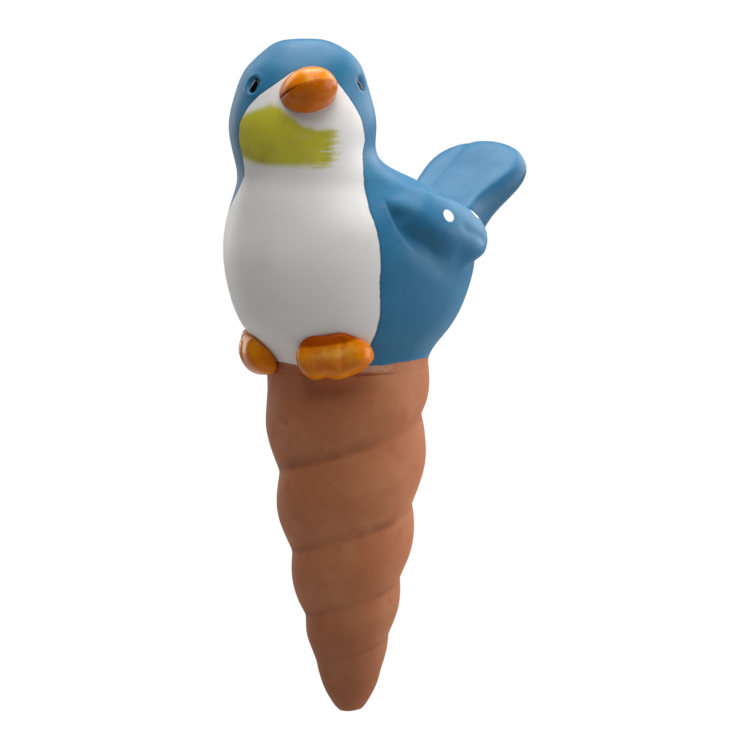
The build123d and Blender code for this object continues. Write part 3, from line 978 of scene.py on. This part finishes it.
# Angle of the groove at each row: the turns down to it are added up along its column
def grooveAngle(add, given, along, inner):
    leastRadius = add("Math", {0: given["Tip Round"], 1: 0.5}, "MULTIPLY")
    pitchRadius = add("Math", {0: inner, 1: leastRadius}, "MAXIMUM")
    pitch = add("Math", {0: given["Pitch Per Radius"], 1: pitchRadius}, "MULTIPLY")
    gaps = add("Math", {0: given["Rows"], 1: 1.0}, "SUBTRACT")
    outsideShare = rowsEnd["outside"] - rowsEnd["rim"]
    gaps = add("Math", {0: gaps, 1: outsideShare}, "MULTIPLY")
    rowDrop = add("Math", {0: given["Length"], 1: gaps}, "DIVIDE")
    rowTurn = add("Math", {0: rowDrop, 1: pitch}, "DIVIDE")
    onOutside = add("Math", {0: along, 1: 0.5, 2: 0.4999}, "COMPARE")
    rowTurn = add("Math", {0: rowTurn, 1: onOutside}, "MULTIPLY")
    index = add("GeometryNodeInputIndex")
    column = add("Math", {0: index, 1: given["Rows"]}, "DIVIDE")
    column = add("Math", {0: column}, "FLOOR")
    turns = add("GeometryNodeAccumulateField", {"Value": rowTurn, "Group ID": column})
    winding = {0: turns.outputs["Leading"], 1: -2 * math.pi, 2: given["Start"]}
    return add("Math", winding, "MULTIPLY_ADD")


# The tank lies a wall's thickness further in, and its floor and the tip are closed
def closedRadius(add, given, down, radius):
    rimRange = {"Value": down, "From Min": rowsEnd["tank"], "From Max": rowsEnd["rim"]}
    inset = add("MapRange", {**rimRange, "To Min": given["Wall"], "To Max": 0.0})
    radius = add("Math", {0: radius, 1: inset}, "SUBTRACT")
    floorOpen = add("MapRange", {"Value": down, "From Max": rowsEnd["floor"]})
    radius = add("Math", {0: radius, 1: floorOpen}, "MULTIPLY")
    tipOpen = add("MapRange", {"Value": down, "From Min": rowsEnd["outside"], "To Min": 1.0, "To Max": 0.0})
    return add("Math", {0: radius, 1: tipOpen}, "MULTIPLY")


# Painted shade: a dark line along the groove, and a softer painted shade on the wall above it
def grooveShade(add, given, wave, fromGroove, grooved):
    lineRange = {"Value": wave, "From Max": given["Line Width"], "To Min": given["Line Share"], "To Max": 0.0}
    line = add("MapRange", lineRange)
    shade = add("MapRange", {"Value": wave, "From Max": given["Shade Width"], "To Min": 1.0, "To Max": 0.0})
    above = add("Math", {0: fromGroove}, "SINE")
    above = add("MapRange", {"Value": above, "From Max": -0.05, "To Max": given["Shade Share"]})
    shade = add("Math", {0: shade, 1: above}, "MULTIPLY")
    groove = add("Math", {0: line, 1: shade}, "MAXIMUM")
    return add("Math", {0: groove, 1: grooved}, "MULTIPLY")


# Slow hand-made unevenness, none at the rim
def unevenness(add, given, height):
    lumpScale = add("Math", {0: 1.0, 1: given["Lump Size"]}, "DIVIDE")
    lumps = add("TexNoise", {"Scale": lumpScale})
    uneven = add("Math", {0: lumps, 1: 0.5}, "SUBTRACT")
    uneven = add("Math", {0: uneven, 1: given["Lumps"]}, "MULTIPLY")
    belowRim = add("Math", {0: height, 1: -1.0}, "MULTIPLY")
    belowRim = add("MapRange", {"Value": belowRim, "From Max": given["Lean Run"]})
    uneven = add("Math", {0: uneven, 1: belowRim}, "MULTIPLY")
    normal = add("GeometryNodeInputNormal")
    return add("VectorMath", {0: normal, "Scale": uneven}, "SCALE")


def spikeGroup():
    tree = bpy.data.node_groups.new("scallopedSpike", "GeometryNodeTree")
    tree.interface.new_socket("Geometry", in_out="OUTPUT", socket_type="NodeSocketGeometry")
    for name, value in spike.items():
        kind = "NodeSocketInt" if isinstance(value, int) else "NodeSocketFloat"
        tree.interface.new_socket(name, in_out="INPUT", socket_type=kind)
    tree.interface.new_socket("Material", in_out="INPUT", socket_type="NodeSocketMaterial")
    add = nodeAdder(tree)
    given = add("NodeGroupInput").outputs

    sheet = {"Size X": 1.0, "Size Y": 1.0, "Vertices X": given["Columns"], "Vertices Y": given["Rows"]}
    grid = add("GeometryNodeMeshGrid", sheet)
    position = add("GeometryNodeInputPosition")
    place = add("SeparateXYZ", {0: position}).outputs
    circling = add("Math", {0: place["X"], 1: 2 * math.pi, 2: math.pi}, "MULTIPLY_ADD")
    down = add("Math", {0: place["Y"], 1: 0.5}, "ADD")

    # Depth of each row: up the tank's wall from its floor, then down the outside
    climbRange = {"Value": down, "From Max": rowsEnd["tank"], "To Min": given["Tank Depth"], "To Max": 0.0}
    climb = add("MapRange", climbRange)
    along = add("MapRange", {"Value": down, "From Min": rowsEnd["rim"], "From Max": rowsEnd["outside"]})
    outside = add("Math", {0: along, 1: given["Length"]}, "MULTIPLY")
    depth = add("Math", {0: outside, 1: climb}, "ADD")
    inner, over = spikeProfile(add, given, depth)
    fromGroove = add("Math", {0: circling, 1: grooveAngle(add, given, along, inner)}, "SUBTRACT")

    # The wall swells between one pass of the groove and the next, evenly at the rim and near the tip
    half = add("Math", {0: fromGroove, 1: 0.5}, "MULTIPLY")
    wave = add("Math", {0: half}, "SINE")
    wave = add("Math", {0: wave, 1: 2.0}, "POWER")
    softEdge = add("Math", {0: given["Crease"], 1: 2.0}, "POWER")
    bulge = add("Math", {0: wave, 1: softEdge}, "ADD")
    bulge = add("Math", {0: bulge}, "SQRT")
    bulge = add("Math", {0: bulge, 1: given["Crease"]}, "SUBTRACT")
    bulge = add("Math", {0: bulge, 1: given["Crest Gain"]}, "MULTIPLY")
    leaning = add("MapRange", {"Value": outside, "From Max": given["Lean Run"]})
    fadeFrom = {"Value": outside, "From Min": given["Fade Start"], "From Max": given["Fade End"]}
    fading = add("MapRange", {**fadeFrom, "To Min": 1.0, "To Max": 0.0})
    grooved = add("Math", {0: leaning, 1: fading}, "MULTIPLY")
    bulge = add("Mix", {0: grooved, 2: given["Rim Swell"], 3: bulge})
    swell = add("Math", {0: given["Scallop"], 1: over}, "MULTIPLY")
    radius = add("Math", {0: swell, 1: bulge, 2: inner}, "MULTIPLY_ADD")
    radius = closedRadius(add, given, down, radius)

    across = add("Math", {0: circling}, "COSINE")
    x = add("Math", {0: radius, 1: across}, "MULTIPLY")
    ahead = add("Math", {0: circling}, "SINE")
    y = add("Math", {0: radius, 1: ahead}, "MULTIPLY")
    toward = add("Math", {0: circling, 1: given["Lean Toward"]}, "SUBTRACT")
    toward = add("Math", {0: toward}, "COSINE")
    toward = add("Math", {0: toward, 1: radius}, "MULTIPLY")
    lean = add("Math", {0: given["Lean"], 1: leaning}, "MULTIPLY")
    drop = add("Math", {0: lean, 1: toward, 2: depth}, "MULTIPLY_ADD")
    z = add("Math", {0: drop, 1: -1.0}, "MULTIPLY")
    point = add("CombineXYZ", {0: x, 1: y, 2: z})

    # The painted groove shade is stored while the sheet is flat. Once it is rolled up, Z is the height
    groove = grooveShade(add, given, wave, fromGroove, grooved)
    stored = {"Geometry": grid, "Name": "groove", "Value": groove}
    marked = add("GeometryNodeStoreNamedAttribute", stored, data_type="FLOAT", domain="POINT")
    shaped = add("GeometryNodeSetPosition", {"Geometry": marked, "Position": point})
    welded = add("GeometryNodeMergeByDistance", {"Geometry": shaped, "Distance": 0.005 * mm})
    shift = unevenness(add, given, place["Z"])
    lumpy = add("GeometryNodeSetPosition", {"Geometry": welded, "Offset": shift})
    single = add("GeometryNodeRealizeInstances", {"Geometry": lumpy})
    dressed = add("GeometryNodeSetMaterial", {"Geometry": single, "Material": given["Material"]})
    add("NodeGroupOutput", {"Geometry": dressed})
    return tree


def bakeGroup(tree, settings, material):
    holder = bpy.data.objects.new("holder", bpy.data.meshes.new("empty"))
    scene.collection.objects.link(holder)
    change = holder.modifiers.new("rule", "NODES")
    change.node_group = tree
    for item in tree.interface.items_tree:
        if item.in_out == "INPUT":
            change[item.identifier] = material if item.name == "Material" else settings[item.name]
    holder.update_tag()
    return bakedMesh(holder)


def outward(mesh):
    work = bmesh.new()
    work.from_mesh(mesh)
    bmesh.ops.recalc_face_normals(work, faces=work.faces)
    work.to_mesh(mesh)
    work.free()


print("stage: spike")
spikeMesh = bakeGroup(spikeGroup(), spike, terracottaSkin)
outward(spikeMesh)
print("spike:", len(spikeMesh.vertices), "points")
placePiece("soilSpike", spikeMesh, terracottaSkin, "soil_spike", "terracotta")
spikeMesh.set_sharp_from_angle(angle=math.radians(60))


# Floor, light and camera

print("stage: floor, light and camera")
floorDrop = 0.04
lowest = cadBox[0][2]


def buildFloor():
    work = bmesh.new()
    bmesh.ops.create_circle(work, cap_ends=True, segments=96, radius=1.2)
    mesh = bpy.data.meshes.new("paleFloor")
    work.to_mesh(mesh)
    work.free()
    mesh.transform(Matrix.Translation((0, 0, lowest - floorDrop)))
    floor = bpy.data.objects.new("paleFloor", mesh)
    scene.collection.objects.link(floor)
    material, add, place = newMaterial("paleBoard")  # Painted board: plain and matt, shown white
    clouds = add("TexNoise", {"Vector": place, "Scale": 1 / (60 * mm)})
    shade = add("MapRange", {"Value": clouds, "To Min": 0.4, "To Max": 0.45})
    plain = add("BsdfDiffuse", {"Color": shade})
    white = add("Emission", {"Color": "#FFFFFF", "Strength": 1.0})
    seen = add("LightPath").outputs["Is Camera Ray"]
    mixed = add("MixShader", {0: seen, 1: plain, 2: white})
    add("OutputMaterial", {"Surface": mixed})
    mesh.materials.append(material)


def buildWorld():
    world = bpy.data.worlds.new("lightTent")
    scene.world = world
    world.use_nodes = True
    add = nodeAdder(world.node_tree)
    dim = add("Background", {"Color": "#FFFFFF", "Strength": 0.03})
    bright = add("Background", {"Color": "#FFFFFF", "Strength": 1.0})
    seen = add("LightPath").outputs["Is Camera Ray"]
    mixed = add("MixShader", {0: seen, 1: dim, 2: bright})
    add("OutputWorld", {"Surface": mixed})


# A point round the object: turn from the front towards the right of the camera, and height above its horizon
def around(turn, rise, distance):
    yaw, pitch = math.radians(turn), math.radians(rise)
    flat = math.cos(pitch) * distance
    return Vector((math.sin(yaw) * flat, -math.cos(yaw) * flat, math.sin(pitch) * distance))


view = {
    "turn": 48.0,
    "rise": 7.0,
    "distance": 0.8,
    "roll": -0.5,
    "width": 0.2005,
    "asideX": 7.35,
    "asideY": 0.53,
    "middleZ": -3.0,
}
# Each lamp's turn from the camera, rise, width, height and watts
lamps = {
    "frontBox": (0, 65, 0.5, 0.5, 3.5),
    "backBox": (180, 69, 0.5, 0.5, 4.2),
    "rightBox": (90, 5, 0.5, 0.5, 2.8),
    "rightBackBox": (130, 25, 0.5, 0.5, 2.9),
    "leftBackBox": (-138, 18, 0.4, 0.7, 1.8),
}
lampDistance = 0.7


def addLamps():
    for name, (turn, rise, width, height, watts) in lamps.items():
        lamp = bpy.data.lights.new(name, "AREA")
        lamp.shape = "RECTANGLE"
        lamp.size, lamp.size_y = width, height
        lamp.energy = watts
        holder = bpy.data.objects.new(name, lamp)
        scene.collection.objects.link(holder)
        holder.location = around(view["turn"] + turn, rise, lampDistance)
        holder.rotation_euler = (-holder.location).to_track_quat("-Z", "Y").to_euler()


def addCamera():
    lens = bpy.data.cameras.new("photoCamera")
    lens.sensor_width = 36.0
    lens.lens = lens.sensor_width * view["distance"] / view["width"]
    holder = bpy.data.objects.new("photoCamera", lens)
    scene.collection.objects.link(holder)
    middle = Vector((0, 0, view["middleZ"] * mm))
    place = middle + around(view["turn"], view["rise"], view["distance"])
    back = (place - middle).normalized()
    right = Vector((0, 0, 1)).cross(back).normalized()
    up = back.cross(right)
    target = middle + right * view["asideX"] * mm + up * view["asideY"] * mm
    holder.location = place
    turnTo = (target - place).to_track_quat("-Z", "Y").to_matrix().to_4x4()
    roll = Matrix.Rotation(math.radians(view["roll"]), 4, "Z")
    holder.matrix_world = Matrix.Translation(place) @ turnTo @ roll
    scene.camera = holder


buildFloor()
buildWorld()
addLamps()
addCamera()
scene.view_settings.view_transform = "Standard"
